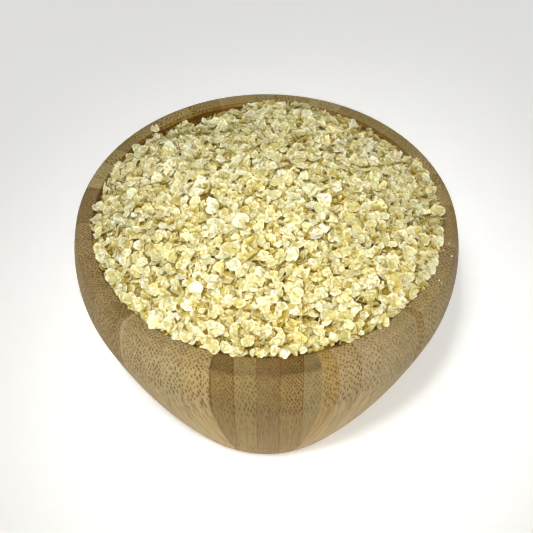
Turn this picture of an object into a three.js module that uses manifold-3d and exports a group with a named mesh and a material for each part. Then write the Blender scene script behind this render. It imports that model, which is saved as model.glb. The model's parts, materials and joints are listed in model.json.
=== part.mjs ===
// A turned bamboo bowl heaped with millet flakes. Millimetres, +Z up.
// The origin is the centre of the bowl's foot, and the front of the heap faces -Y.
import * as THREE from "three";
import { mergeVertices } from "three/addons/utils/BufferGeometryUtils.js";
import Module from "manifold-3d";

// Bowl: driving sizes
const bowlHeight = 80;
const widestRadius = 60;
const widestDepth = 11; // below the rim
const bellyRadius = 40; // arc through the widest place
const bellyEnd = 18.1; // degrees from level, where the flatter arc takes over
const flankRadius = 291; // the long arc down to the foot
const wall = 5.2;
const floorThickness = 9;
const floorFillet = 18;
const lipRound = 2.2;
const mouthRound = 0.8;
const footRound = 1.5;
const bowlSides = 54;

// Heap: driving sizes
const clearance = 0.3; // between the flakes and the wood
const domeHeight = 11; // of the heap's middle over the rim
const domeFullness = 2.3; // 2 is a parabola, more is flatter on top
const edgeDips = [
  // where the heap sinks under the rim: degrees from the front, counterclockwise seen from above
  { at: 206, depth: 3.2, spread: 15 },
  { at: 140, depth: 1.8, spread: 17 },
];
const dipReach = 15; // how far in from the rim a dip is felt
const coreRings = 12;
const coreLump = 0.5; // half the height of the core's lumps
const coreSides = 36;
const coreJoin = 3; // under the deepest dip, where the lumpy top meets the fill
const coreOverlap = 2; // of the top and the fill
const flakeSize = 4.1; // across
const flakeSizeSpread = 0.55;
const flakeThickness = 0.62;
const flakeSpacing = 6;
const flakeCorners = [4, 5];
const cornerReach = [0.88, 1.15]; // of a corner, against half the flake's size
const cornerShift = 0.2; // of a corner along the outline, against the even spacing
const placeShift = 0.3; // of a flake or a lump, against the even spacing
const flakeTilt = [14, 50]; // degrees off the heap's surface
const flakeRise = [0.3, 0.9]; // of a flake's middle over that surface
const flakeOverhang = 1.2; // how far a flake may reach over the rim
const seed = 41;

const degrees = THREE.MathUtils.degToRad;
const wasm = await Module();
wasm.setup();

// A repeatable random number from 0 to 1.
let state = seed;
function random() {
  state = (state + 0x6d2b79f5) | 0;
  let t = Math.imul(state ^ (state >>> 15), 1 | state);
  t = (t + Math.imul(t ^ (t >>> 7), 61 | t)) ^ t;
  return ((t ^ (t >>> 14)) >>> 0) / 4294967296;
}
const between = (low, high) => low + (high - low) * random();

// Points on an arc in the (radius, height) plane. Angles are downwards from level.
function arc(centre, radius, from, to, steps) {
  return Array.from({ length: steps + 1 }, (_, i) => {
    const angle = from + ((to - from) * i) / steps;
    const x = centre.x + radius * Math.cos(angle);
    return new THREE.Vector2(x, centre.y - radius * Math.sin(angle));
  });
}

// The wall's two arcs share a tangent where they meet. A positive inset moves the line into the bowl.
const bellyCentre = new THREE.Vector2(widestRadius - bellyRadius, bowlHeight - widestDepth);
const joinAngle = degrees(bellyEnd);
const flankCentre = new THREE.Vector2(
  bellyCentre.x - (flankRadius - bellyRadius) * Math.cos(joinAngle),
  bellyCentre.y + (flankRadius - bellyRadius) * Math.sin(joinAngle),
);

// The wall's line from the height `top` down to where the rounding at its foot begins.
function wallLine(inset, top, round, roundCentreHeight, steps) {
  const belly = bellyRadius - inset;
  const flank = flankRadius - inset;
  const start = Math.asin((bellyCentre.y - top) / belly);
  const end = Math.asin((flankCentre.y - roundCentreHeight) / (flank - round));
  const reach = (flank - round) * Math.cos(end);
  const roundCentre = new THREE.Vector2(flankCentre.x + reach, roundCentreHeight);
  return [
    ...arc(bellyCentre, belly, start, joinAngle, steps.belly),
    ...arc(flankCentre, flank, joinAngle, end, steps.flank).slice(1),
    ...arc(roundCentre, round, end, Math.PI / 2, steps.round).slice(1),
  ];
}

// A quarter round between the rim's flat top and a wall, from the top outwards or inwards.
function rimRound(wallRadius, round, direction) {
  const centre = new THREE.Vector2(wallRadius - direction * round, bowlHeight - round);
  return arc(centre, round, -Math.PI / 2, direction > 0 ? 0 : -Math.PI, 3).slice(0, -1);
}

const onAxis = (height) => new THREE.Vector2(0, height);

function outerLine() {
  const steps = { belly: 5, flank: 3, round: 2 };
  const line = wallLine(0, bowlHeight - lipRound, footRound, footRound, steps);
  return [...rimRound(line[0].x, lipRound, 1), ...line];
}

function innerLine() {
  const steps = { belly: 3, flank: 2, round: 3 };
  const centreHeight = floorThickness + floorFillet;
  const line = wallLine(wall, bowlHeight - mouthRound, floorFillet, centreHeight, steps);
  return [...rimRound(line[0].x, mouthRound, -1), ...line];
}

// A profile turned round the Z axis.
function turned(profile, sides) {
  return new THREE.LatheGeometry(profile, sides).rotateX(Math.PI / 2);
}

function bowlGeometry() {
  const profile = [onAxis(floorThickness), ...innerLine().reverse(), ...outerLine(), onAxis(0)];
  return turned(profile.reverse(), bowlSides);
}

// A closed geometry as a solid, and back.
function solid(geometry) {
  const bare = new THREE.BufferGeometry();
  bare.setAttribute("position", geometry.getAttribute("position"));
  bare.setIndex(geometry.index);
  const merged = mergeVertices(bare, 1e-4);
  const corners = Array.from(merged.index.array);
  const faces = [];
  for (let i = 0; i < corners.length; i += 3) {
    const [a, b, c] = corners.slice(i, i + 3);
    if (a !== b && b !== c && a !== c) faces.push(a, b, c);
  }
  return new wasm.Manifold(
    new wasm.Mesh({
      numProp: 3,
      vertProperties: merged.getAttribute("position").array,
      triVerts: new Uint32Array(faces),
    }),
  );
}

function geometryOf(body) {
  const mesh = body.getMesh();
  const geometry = new THREE.BufferGeometry();
  geometry.setAttribute("position", new THREE.BufferAttribute(mesh.vertProperties, 3));
  geometry.setIndex(new THREE.BufferAttribute(mesh.triVerts, 1));
  const flat = geometry.toNonIndexed();
  flat.computeVertexNormals();
  return flat;
}

const mouthRadius = bellyCentre.x + Math.sqrt(
  (bellyRadius - wall) ** 2 - (widestDepth - mouthRound) ** 2,
);
const heapRadius = mouthRadius - clearance;

// Degrees between two compass directions, 0 to 180.
const turnBetween = (a, b) => Math.abs(THREE.MathUtils.euclideanModulo(a - b + 180, 360) - 180);

// The heap's smooth surface over a point: a full dome that sinks under the rim in two places.
function heapLevel(x, y) {
  const radius = Math.hypot(x, y);
  const direction = THREE.MathUtils.radToDeg(Math.atan2(x, -y));
  const share = Math.min(radius / heapRadius, 1);
  const dome = domeHeight * (1 - share ** domeFullness);
  const nearRim = Math.exp(-(((heapRadius - Math.min(radius, heapRadius)) / dipReach) ** 2));
  const dips = edgeDips.map(
    ({ at, depth, spread }) => depth * Math.exp(-((turnBetween(direction, at) / spread) ** 2)),
  );
  return bowlHeight + dome - nearRim * dips.reduce((sum, dip) => sum + dip, 0);
}

// The unit normal of the heap's smooth surface.
function heapNormal(x, y) {
  const step = 0.5;
  const slopeX = (heapLevel(x + step, y) - heapLevel(x - step, y)) / (2 * step);
  const slopeY = (heapLevel(x, y + step) - heapLevel(x, y - step)) / (2 * step);
  return new THREE.Vector3(-slopeX, -slopeY, 1).normalize();
}

// A disc of rings, with 6 points on the first, 12 on the second and so on, so that its faces are even.
// place(share, angle) gives each point.
function ringFaces(rings, place) {
  const points = [place(0, 0)];
  const faces = [];
  const first = (ring) => (ring ? 1 + 3 * ring * (ring - 1) : 0);
  for (let ring = 1; ring <= rings; ring++) {
    const count = 6 * ring;
    const inner = Math.max(count - 6, 1);
    for (let i = 0; i < count; i++) {
      points.push(place(ring / rings, (2 * Math.PI * i) / count));
      const sector = Math.floor(i / ring);
      const along = i - sector * ring;
      const below = first(ring - 1) + ((sector * (ring - 1) + along) % inner);
      const a = first(ring) + i;
      const b = first(ring) + ((i + 1) % count);
      faces.push(below, a, b);
      if (along < ring - 1) {
        const beside = first(ring - 1) + ((sector * (ring - 1) + along + 1) % inner);
        faces.push(below, b, beside);
      }
    }
  }
  return { points, faces, rim: first(rings) };
}

// The lumpy top of the heap, closed underneath at the height `under`.
function heapTop(under) {
  const { points, faces, rim } = ringFaces(coreRings, (share, angle) => {
    const atRim = share === 1;
    const spacing = heapRadius / coreRings;
    const radius = share * heapRadius + (atRim ? 0 : between(-placeShift, placeShift)) * spacing;
    const x = radius * Math.sin(angle);
    const y = -radius * Math.cos(angle);
    const lump = atRim ? between(-coreLump, 0) : between(-coreLump, coreLump);
    return new THREE.Vector3(x, y, heapLevel(x, y) + lump);
  });
  const edge = points.length - rim;
  const bottom = points.length;
  for (let i = 0; i < edge; i++) points.push(points[rim + i].clone().setZ(under));
  points.push(new THREE.Vector3(0, 0, under));
  for (let i = 0; i < edge; i++) {
    const next = (i + 1) % edge;
    faces.push(rim + i, bottom + i, bottom + next);
    faces.push(rim + i, bottom + next, rim + next);
    faces.push(bottom + i, bottom + edge, bottom + next);
  }
  const geometry = new THREE.BufferGeometry().setFromPoints(points);
  return solid(geometry.setIndex(faces));
}

// The flakes below the rim, as one solid that fills the bowl.
function heapFill(top) {
  const steps = { belly: 3, flank: 2, round: 3 };
  const inset = wall + clearance;
  const round = floorFillet - clearance;
  const line = wallLine(inset, top, round, floorThickness + floorFillet, steps);
  const profile = [onAxis(top), ...line, onAxis(floorThickness + clearance)];
  return solid(turned(profile.reverse(), coreSides));
}

// One flake: a thin plate with uneven corners, lying in its own XY plane.
function flakeGeometry() {
  const half = between(flakeSize - flakeSizeSpread, flakeSize + flakeSizeSpread) / 2;
  const corners = Math.round(between(...flakeCorners));
  const outline = new THREE.Shape(
    Array.from({ length: corners }, (_, i) => {
      const angle = (2 * Math.PI * (i + between(-cornerShift, cornerShift))) / corners;
      const reach = half * between(...cornerReach);
      return new THREE.Vector2(reach * Math.cos(angle), reach * Math.sin(angle));
    }),
  );
  const flake = new THREE.ExtrudeGeometry(outline, { depth: flakeThickness, bevelEnabled: false });
  return flake.translate(0, 0, -flakeThickness / 2);
}

// Lays a flake on the heap at a tilt, so that its lower edge is in the heap.
function layFlake(x, y) {
  const flake = flakeGeometry();
  const normal = heapNormal(x, y);
  const tilt = degrees(between(...flakeTilt));
  const heading = between(0, 2 * Math.PI);
  const axis = new THREE.Vector3(Math.cos(heading), Math.sin(heading), 0);
  const up = normal.applyAxisAngle(axis, tilt);
  const turn = new THREE.Quaternion().setFromUnitVectors(new THREE.Vector3(0, 0, 1), up);
  const place = new THREE.Vector3(x, y, heapLevel(x, y) + between(...flakeRise));
  flake.applyMatrix4(new THREE.Matrix4().compose(place, turn, new THREE.Vector3(1, 1, 1)));
  return flake;
}

// How far a flake has to rise to lie over the rim instead of in it.
function riseOverRim(flake) {
  const corners = flake.getAttribute("position");
  let rise = 0;
  for (let i = 0; i < corners.count; i++) {
    if (Math.hypot(corners.getX(i), corners.getY(i)) > heapRadius) {
      rise = Math.max(rise, bowlHeight + clearance - corners.getZ(i));
    }
  }
  return rise;
}

// Flakes on a staggered grid with every place shifted at random, row by row.
function looseFlakes() {
  const flakes = [];
  const rowStep = flakeSpacing * Math.sqrt(0.75);
  const most = heapRadius + flakeOverhang - flakeSize / 2;
  const rows = Math.ceil(most / rowStep);
  for (let row = -rows; row <= rows; row++) {
    for (let column = -rows - 1; column <= rows + 1; column++) {
      const stagger = row % 2 ? 0.5 : 0;
      const x = (column + stagger + between(-placeShift, placeShift)) * flakeSpacing;
      const y = (row + between(-placeShift, placeShift)) * rowStep;
      if (Math.hypot(x, y) > most) continue;
      const flake = layFlake(x, y);
      const rise = riseOverRim(flake);
      if (rise < flakeSize / 3) flakes.push(solid(flake.translate(0, 0, rise)));
    }
  }
  return flakes;
}

// The largest body of a union, without loose scraps or sealed hollows.
function largest(body) {
  return body.decompose().reduce((best, one) => (one.volume() > best.volume() ? one : best));
}

function heapGeometry() {
  const join = bowlHeight - Math.max(...edgeDips.map(({ depth }) => depth)) - coreJoin;
  const core = heapFill(join).add(heapTop(join - coreOverlap));
  const heap = looseFlakes().reduce((sum, flake) => sum.add(flake), core);
  return geometryOf(largest(heap));
}

const bamboo = new THREE.MeshStandardMaterial({ color: 0xa8895a, roughness: 0.62, metalness: 0 });
const millet = new THREE.MeshStandardMaterial({ color: 0xe6dc9c, roughness: 0.8, metalness: 0 });

const bowl = new THREE.Mesh(bowlGeometry(), bamboo);
bowl.name = "bowl";
const flakes = new THREE.Mesh(heapGeometry(), millet);
flakes.name = "flakes";

const part = new THREE.Group();
part.add(bowl, flakes);
export default part;
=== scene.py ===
# %% [markdown]
# # A bamboo bowl heaped with millet flakes
# The real object is a small bowl turned on a lathe from glued bamboo, filled over the brim with rolled
# millet. This file dresses the plain solids of the same object. Two things carry the look: the cut ends of
# the bamboo's fibres, which show as dots on the rim and as streaks lower down, and thousands of thin ragged
# flakes that lean on each other. The first is a pattern that fills the wood like the real fibres do. The
# second is real geometry, piled up by a small simulation.

import json
import math

import bpy
import numpy as np
from mathutils import Matrix, Vector

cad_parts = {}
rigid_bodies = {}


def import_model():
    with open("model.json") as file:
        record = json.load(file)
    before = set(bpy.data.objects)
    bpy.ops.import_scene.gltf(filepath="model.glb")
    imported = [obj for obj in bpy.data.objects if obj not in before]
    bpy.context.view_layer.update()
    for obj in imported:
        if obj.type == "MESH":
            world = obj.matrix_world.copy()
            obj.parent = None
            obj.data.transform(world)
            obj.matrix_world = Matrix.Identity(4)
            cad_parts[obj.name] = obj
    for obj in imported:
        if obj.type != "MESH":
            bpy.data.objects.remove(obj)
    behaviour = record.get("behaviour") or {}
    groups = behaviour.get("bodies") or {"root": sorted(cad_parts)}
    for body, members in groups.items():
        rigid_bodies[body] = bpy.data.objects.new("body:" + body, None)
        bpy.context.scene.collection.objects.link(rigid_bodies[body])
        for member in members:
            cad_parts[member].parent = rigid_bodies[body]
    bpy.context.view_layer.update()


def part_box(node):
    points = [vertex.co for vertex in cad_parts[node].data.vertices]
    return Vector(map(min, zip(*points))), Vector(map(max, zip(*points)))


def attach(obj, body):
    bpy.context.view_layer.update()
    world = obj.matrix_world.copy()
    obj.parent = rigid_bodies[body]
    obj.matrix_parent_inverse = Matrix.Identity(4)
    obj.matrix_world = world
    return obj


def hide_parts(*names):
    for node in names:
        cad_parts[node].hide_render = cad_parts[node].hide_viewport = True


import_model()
MM = 0.001
bowl_low, bowl_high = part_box("bowl")
RIM = bowl_high.z
WIDEST = bowl_high.y
print(f"bowl: {2 * WIDEST / MM:.1f} mm across, {RIM / MM:.1f} mm high")

# %% [markdown]
# ## Small helpers
# Every material and every Geometry Nodes tree here is a handful of nodes. One function adds a node, sets it
# up and links it, and gives back the socket that carries its result, so that the next node can use it
# straight away. A few short ones stand on it, for the nodes that are needed again and again. Colours are
# written as they look on a screen and turned to the linear values that the renderer works with.

# %% Helpers for nodes and colours


def linear(hex_colour):
    """An sRGB hex colour as linear RGBA."""
    parts = [int(hex_colour[i : i + 2], 16) / 255 for i in (1, 3, 5)]
    return [p / 12.92 if p <= 0.04045 else ((p + 0.055) / 1.055) ** 2.4 for p in parts] + [1.0]


def grey(level):
    """A linear grey as RGBA."""
    return (level, level, level, 1.0)


def add(tree, kind, inputs=None, output=None, **settings):
    """Adds a node, fills its inputs by name or number, and returns one of its output sockets."""
    node = tree.nodes.new(kind)
    for name, value in settings.items():
        setattr(node, name, value)
    for name, value in (inputs or {}).items():
        named = [s for s in node.inputs if s.enabled and s.name == name]
        socket = node.inputs[name] if isinstance(name, int) else named[0]
        if isinstance(value, bpy.types.NodeSocket):
            tree.links.new(value, socket)
        else:
            socket.default_value = value
    if not node.outputs:
        return node
    return node.outputs[output] if output else next(s for s in node.outputs if s.enabled)


def new_material(name):
    material = bpy.data.materials.new(name)
    material.use_nodes = True
    material.node_tree.nodes.clear()
    return material, material.node_tree


# %% Helpers for arithmetic between nodes


def calculate(tree, operation, *values, **settings):
    """Arithmetic on numbers, each a number or a socket."""
    return add(tree, "ShaderNodeMath", dict(enumerate(values)), operation=operation, **settings)


def product(tree, first, *others):
    """Multiplies all values."""
    for other in others:
        first = calculate(tree, "MULTIPLY", first, other)
    return first


def remap(tree, value, from_low, from_high, to_low=0, to_high=1, **settings):
    """Carries a value from one range over to another, and holds it at the ends."""
    ends = {"From Min": from_low, "From Max": from_high, "To Min": to_low, "To Max": to_high}
    return add(tree, "ShaderNodeMapRange", {"Value": value, **ends}, **settings)


def calculate_vector(tree, operation, *values):
    """Arithmetic on vectors or colours, part by part."""
    return add(tree, "ShaderNodeVectorMath", dict(enumerate(values)), operation=operation)


def scaled(tree, vector, factor):
    return add(tree, "ShaderNodeVectorMath", {0: vector, "Scale": factor}, operation="SCALE")


def part_of(tree, vector, axis):
    return add(tree, "ShaderNodeSeparateXYZ", {0: vector}, axis)


# %% Helpers for patterns and colours


def noise(tree, places, scale, detail, output="Fac", **inputs):
    """Soft noise, with more fine detail the higher that is."""
    inputs = {"Vector": places, "Scale": scale, "Detail": detail, **inputs}
    return add(tree, "ShaderNodeTexNoise", inputs, output)


def ramp(tree, value, stops, interpolation="LINEAR"):
    """Turns a value into a colour between stops, each a position and a linear RGBA."""
    colour = add(tree, "ShaderNodeValToRGB", {"Fac": value}, "Color")
    colour.node.color_ramp.interpolation = interpolation
    elements = colour.node.color_ramp.elements
    while len(elements) > 1:
        elements.remove(elements[-1])
    for index, (position, stop) in enumerate(stops):
        element = elements[0] if index == 0 else elements.new(position)
        element.position = position
        element.color = stop
    return colour


def mix(tree, share, first, second, blend_type="MIX"):
    """Mixes two colours, each a socket or a linear RGBA."""
    inputs = {"Factor": share, "A": first, "B": second}
    return add(tree, "ShaderNodeMix", inputs, "Result", data_type="RGBA", blend_type=blend_type)


# %% Helpers for meshes


def mesh_object(name, vertices, faces, material=None, smooth_angle=None):
    """A mesh object in the scene from arrays of vertices and faces."""
    mesh = bpy.data.meshes.new(name)
    mesh.from_pydata([tuple(v) for v in vertices], [], faces)
    mesh.validate()
    mesh.shade_smooth()
    if smooth_angle is not None:
        mesh.set_sharp_from_angle(angle=math.radians(smooth_angle))
    if material:
        mesh.materials.append(material)
    piece = bpy.data.objects.new(name, mesh)
    bpy.context.scene.collection.objects.link(piece)
    return piece


def give(mesh, name, values, domain="POINT", kind="FLOAT"):
    """Stores a number or a vector under a name for every point or face of a mesh."""
    stored = mesh.attributes.new(name, kind, domain).data
    stored.foreach_set("value" if kind == "FLOAT" else "vector", np.ravel(values))


def from_mesh(tree, name):
    """Reads a number that a mesh carries, for its material."""
    return add(tree, "ShaderNodeAttribute", output="Fac", attribute_name=name)


print("helpers ready")

# %% [markdown]
# ## The camera
# The photo looks down into the bowl from the front. Its outline, from the back of the rim to the foot, fits
# a camera 452 mm from the middle of the rim and 46.8 degrees above it. It is aimed a little under the rim's
# middle, so that the whole bowl is centred, and the lens follows from how large the bowl is in the picture.

# %% Camera
PICTURE = 533  # pixels on a side
FOCAL_PIXELS = 1463.7
CAMERA_DISTANCE = 452 * MM
CAMERA_ELEVATION = math.radians(46.79)
CAMERA_DROP = math.radians(1.83)  # aimed this much lower than the middle of the rim
SENSOR = 36.0

camera_data = bpy.data.cameras.new("camera")
camera_data.sensor_width = SENSOR
camera_data.lens = SENSOR * FOCAL_PIXELS / PICTURE
camera_data.clip_start = 0.01
camera = bpy.data.objects.new("camera", camera_data)
bpy.context.scene.collection.objects.link(camera)
camera.location = (
    0,
    -CAMERA_DISTANCE * math.cos(CAMERA_ELEVATION),
    RIM + CAMERA_DISTANCE * math.sin(CAMERA_ELEVATION),
)
camera.rotation_euler = (math.pi / 2 - CAMERA_ELEVATION - CAMERA_DROP, 0, 0)
bpy.context.scene.camera = camera
print(f"lens {camera_data.lens:.1f} mm at {CAMERA_DISTANCE / MM:.0f} mm")

# %% [markdown]
# ## The bowl's shape
# A lathe leaves a shape whose every level cut is a circle, so one line in the (radius, height) plane
# describes it: a rounded lip, a belly arc, a long flatter arc down to the foot, and the same arcs one wall
# thickness further in. The solids use the same line with few steps. Here it gets many, so that the outline
# and the lip stay round close up.

# %% Bowl line
BELLY_DEPTH = 11 * MM  # the widest place, below the rim
BELLY_RADIUS = 40 * MM
BELLY_END = math.radians(18.1)  # below level, where the flatter arc takes over
FLANK_RADIUS = 291 * MM
WALL = 5.2 * MM
FLOOR = 9 * MM
FLOOR_FILLET = 18 * MM
LIP_ROUND = 2.2 * MM
MOUTH_ROUND = 0.8 * MM
FOOT_ROUND = 1.5 * MM

belly_centre = np.array([WIDEST - BELLY_RADIUS, RIM - BELLY_DEPTH])
toward_join = np.array([math.cos(BELLY_END), -math.sin(BELLY_END)])
flank_centre = belly_centre - (FLANK_RADIUS - BELLY_RADIUS) * toward_join
print(f"belly round {BELLY_RADIUS / MM:.0f} mm, flank round {FLANK_RADIUS / MM:.0f} mm")

# %% [markdown]
# The line is put together from arcs. The outer and the inner wall share their arcs' middles, so the wall is
# equally thick all the way, and each ends at the bottom in its own rounding.

# %% Arcs into a line


def arc(centre, radius, start, end, steps):
    """Points on an arc in the (radius, height) plane, at angles below level."""
    angles = np.linspace(start, end, steps + 1)
    return centre + radius * np.column_stack([np.cos(angles), -np.sin(angles)])


def wall_line(inset, top, fillet, fillet_height):
    """The wall from the height top down to the rounding under it, moved inset into the bowl."""
    belly, flank = BELLY_RADIUS - inset, FLANK_RADIUS - inset
    start = math.asin((belly_centre[1] - top) / belly)
    end = math.asin((flank_centre[1] - fillet_height) / (flank - fillet))
    fillet_centre = (flank_centre[0] + (flank - fillet) * math.cos(end), fillet_height)
    return np.vstack([
        arc(belly_centre, belly, start, BELLY_END, 16),
        arc(flank_centre, flank, BELLY_END, end, 14)[1:],
        arc(fillet_centre, fillet, end, math.pi / 2, 8)[1:],
    ])


def rim_round(wall_radius, radius, outward):
    """A quarter round from the rim's flat top to a wall."""
    centre = (wall_radius - (radius if outward else -radius), RIM - radius)
    return arc(centre, radius, -math.pi / 2, 0 if outward else -math.pi, 8)[:-1]


outer = wall_line(0, RIM - LIP_ROUND, FOOT_ROUND, FOOT_ROUND)
inner = wall_line(WALL, RIM - MOUTH_ROUND, FLOOR_FILLET, FLOOR + FLOOR_FILLET)
MOUTH = inner[0][0]
outer = np.vstack([rim_round(outer[0][0], LIP_ROUND, True), outer])
inner = np.vstack([rim_round(MOUTH, MOUTH_ROUND, False), inner])
bowl_line = np.vstack([outer[::-1], inner])
print(f"line of {len(bowl_line)} points, mouth {2 * MOUTH / MM:.1f} mm across")

# %% [markdown]
# ## Staves
# The block that the bowl was turned from was built like a barrel: twelve wedge-shaped staves side by side,
# each glued up from upright strips about 7 mm thick. On the bowl the joints between staves run straight
# down, and every stave has its own direction of fibres. So the mesh is turned in steps that land on the
# joints, and each face carries the facts of its stave for the material to read.

# %% The staves
# Degrees round from the front, counterclockwise from above: the joints that the photo shows, then even ones.
seen_joints = [-104.5, -75, -45.5, -16, 15.6, 47.6, 79.5, 106]
STAVES = 12
hidden_staves = STAVES + 1 - len(seen_joints)
hidden_width = (seen_joints[0] + 360 - seen_joints[-1]) / hidden_staves
joints = seen_joints + [seen_joints[-1] + hidden_width * (i + 1) for i in range(hidden_staves)]
BACK_LEFT, FAR_LEFT, LEFT, FRONT, RIGHT, FAR_RIGHT = range(6)  # the staves that show best
headings = [(a + b) / 2 for a, b in zip(joints, joints[1:])]
headings[LEFT], headings[FRONT] = -28, -0.2
strip_width = [7.0] * STAVES
strip_start = [-17.5] * STAVES  # mm across the stave, where its first strip begins
for number, start, width in (
    (BACK_LEFT, -12.8, 7.0),
    (FAR_LEFT, -11.8, 6.2),
    (LEFT, -17.0, 7.0),
    (FRONT, -15.75, 6.65),
    (RIGHT, -18.65, 7.15),
    (FAR_RIGHT, -19.8, 7.0),
):
    strip_start[number], strip_width[number] = start, width
# What the glue line at each joint looks like: 1 is a light line, -1 a dark one.
joint_tones = [0.2, -0.2, 0.55, -0.75, 0.12, 0.25, 0.35, -0.35] + [0.2, -0.35, 0.4, -0.3]
print(f"{STAVES} staves, joints at", [round(j, 1) for j in joints])

# %% [markdown]
# Turning is copying the line round the axis. Every stave is divided into equal turns of its own, so that the
# joints fall exactly between two columns of faces.

# %% Turn the bowl
STEP = 1.25  # degrees
angles, owners, nearest_joint, to_joint = [], [], [], []
for number, (begin, end) in enumerate(zip(joints, joints[1:])):
    count = math.ceil((end - begin) / STEP)
    for i in range(count):
        turned_by = (end - begin) * i / count
        angles.append(begin + turned_by)
        owners.append(number)
        nearest_joint.append(number if i < count / 2 else (number + 1) % STAVES)
        to_joint.append(min(turned_by, end - begin - turned_by))
turns = np.radians(angles)

points_per_turn = len(bowl_line)
radius, height = bowl_line[:, 0], bowl_line[:, 1]
ring = np.stack([
    np.outer(np.sin(turns), radius),
    np.outer(-np.cos(turns), radius),
    np.tile(height, (len(turns), 1)),
], axis=-1).reshape(-1, 3)
foot_middle, floor_middle = len(ring), len(ring) + 1
vertices = np.vstack([ring, [(0, 0, 0), (0, 0, FLOOR)]])
faces, face_stave, face_joint = [], [], []
for column in range(len(turns)):
    here = column * points_per_turn
    there = ((column + 1) % len(turns)) * points_per_turn
    last = points_per_turn - 1
    faces.append((foot_middle, there, here))
    faces += [(here + row, there + row, there + row + 1, here + row + 1) for row in range(last)]
    faces.append((here + last, there + last, floor_middle))
    face_stave += [owners[column]] * (last + 2)
    face_joint += [nearest_joint[column]] * (last + 2)

bowl = mesh_object("turned_bowl", vertices, faces)
print(f"bowl: {len(bowl.data.polygons)} faces")

# %% [markdown]
# A material sees no staves. So every face carries the number and heading of its stave and where its strips
# begin, and every point how far away the nearest joint is.

# %% Facts for the material
FAR_FROM_JOINT = 9  # mm, for the middles of the foot and of the floor
stave_facts = {
    "stave_number": range(STAVES),
    "stave_heading": [math.radians(h) for h in headings],
    "strip_start": strip_start,
    "strip_width": strip_width,
}
for name, values in stave_facts.items():
    give(bowl.data, name, [float(values[n]) for n in face_stave], "FACE")
give(bowl.data, "joint_tone", [joint_tones[n] for n in face_joint], "FACE")
away = np.outer(np.radians(to_joint), radius / MM).ravel()
give(bowl.data, "to_joint", np.append(away, [FAR_FROM_JOINT] * 2))
print(f"joints up to {max(away):.1f} mm away")

# %% [markdown]
# ## Bamboo
# Bamboo is not wood but a giant grass: pale soft tissue with hard dark fibre bundles about 1 mm apart, all
# running one way. Steaming turns it caramel, sanding and a thin coat of oil leave it satin. In each stave
# the fibres lean outwards as the lower wall does. So the rim and the belly cut across the bundles and show
# them as dots, and the wall further down runs along them and shows streaks. A flat pattern of dots that
# runs on along the fibres, right through the wood, gives all of this by itself where the bowl's surface
# cuts it.

# %% Bamboo: where a point lies in its stave
FIBRE_LEAN = math.radians(23.5)  # from upright, outwards

bamboo, wood = new_material("oiled caramel bamboo")
in_mm = scaled(wood, add(wood, "ShaderNodeTexCoord", output="Object"), 1 / MM)
height_mm = part_of(wood, in_mm, "Z")
normal = add(wood, "ShaderNodeNewGeometry", output="True Normal")
stave = {name: from_mesh(wood, name) for name in stave_facts}


def into_stave(vector):
    """Turns a direction or a place to its stave, so that Z runs along the fibres and X across the strips."""
    turned = add(
        wood, "ShaderNodeVectorRotate", {"Vector": vector, "Angle": stave["stave_heading"]},
        rotation_type="Z_AXIS", invert=True,
    )
    return add(
        wood, "ShaderNodeVectorRotate", {"Vector": turned, "Angle": -FIBRE_LEAN}, rotation_type="X_AXIS"
    )


along = into_stave(in_mm)
from_start = calculate(wood, "SUBTRACT", part_of(wood, along, "X"), stave["strip_start"])
strips = calculate(wood, "DIVIDE", from_start, stave["strip_width"])
strip = calculate(wood, "FLOOR", strips)
in_strip = calculate(wood, "FRACT", strips)
end_grain = calculate(wood, "ABSOLUTE", part_of(wood, into_stave(normal), "Z"))
print(f"bamboo: {len(wood.nodes)} nodes to find the strip")

# %% [markdown]
# Each strip comes from another cane, so it has its own colour, and its own size and darkness of bundles.
# The strips that face the viewer are set one by one from the photo, and constant colour ramps hold them.
# All others draw theirs at random from their stave and strip numbers.

# %% Bamboo: the strips that show
# From the left: colour, darkness of the bundles from 0 to 1, their spacing in mm, and how much darker the
# strip is at the rim from 0 to 1.
seen_strips = {
    BACK_LEFT: [("#907c52", 0.75, 0.9, 0.2)] * 2 + [("#9e8a5f", 0.75, 0.9, 0.2)] * 3,
    FAR_LEFT: [
        ("#9d885c", 0.8, 0.9, 0.3),
        ("#988558", 0.8, 0.9, 0.3),
        ("#9f8a5d", 0.8, 0.9, 0.3),
        ("#978356", 0.8, 0.9, 0.55),
        ("#98845c", 0.8, 0.92, 0.5),
    ],
    LEFT: [
        ("#a69469", 0.75, 0.9, 0.4),
        ("#a8956b", 0.75, 0.95, 0.4),
        ("#aa986c", 0.75, 1.0, 0.42),
        ("#ae9867", 0.78, 1.02, 0.42),
        ("#ae9867", 0.78, 1.02, 0.42),
    ],
    FRONT: [
        ("#897343", 0.82, 0.74, 0.62),
        ("#927f50", 0.68, 0.88, 0.28),
        ("#877247", 0.7, 0.76, 0.5),
        ("#8e7848", 1.0, 0.76, 0.78),
        ("#928155", 0.55, 0.8, 0.62),
    ],
    RIGHT: [
        ("#a48951", 0.7, 0.92, 0.32),
        ("#a89368", 0.8, 0.96, 0.32),
        ("#ad9972", 0.6, 1.0, 0.32),
        ("#a7946b", 0.5, 0.95, 0.32),
        ("#a29167", 0.5, 0.95, 0.32),
    ],
    FAR_RIGHT: [
        ("#9f8857", 0.75, 0.9, 0.35),
        ("#a69364", 0.7, 0.95, 0.28),
        ("#a69365", 0.7, 0.95, 0.28),
        ("#a49164", 0.7, 0.95, 0.28),
        ("#9f8b61", 0.7, 0.95, 0.28),
    ],
}
SPACING_RANGE = (0.7, 1.3)  # mm
strips_per_stave = len(seen_strips[FRONT])
seen_count = len(seen_strips) * strips_per_stave
looks = [look for stave_looks in seen_strips.values() for look in stave_looks]
print(f"{seen_count} strips set from the photo")

# %% [markdown]
# A colour ramp that is constant between its stops is an easy list: it gives a strip's look from the strip's
# number, as a share of them all.

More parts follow.
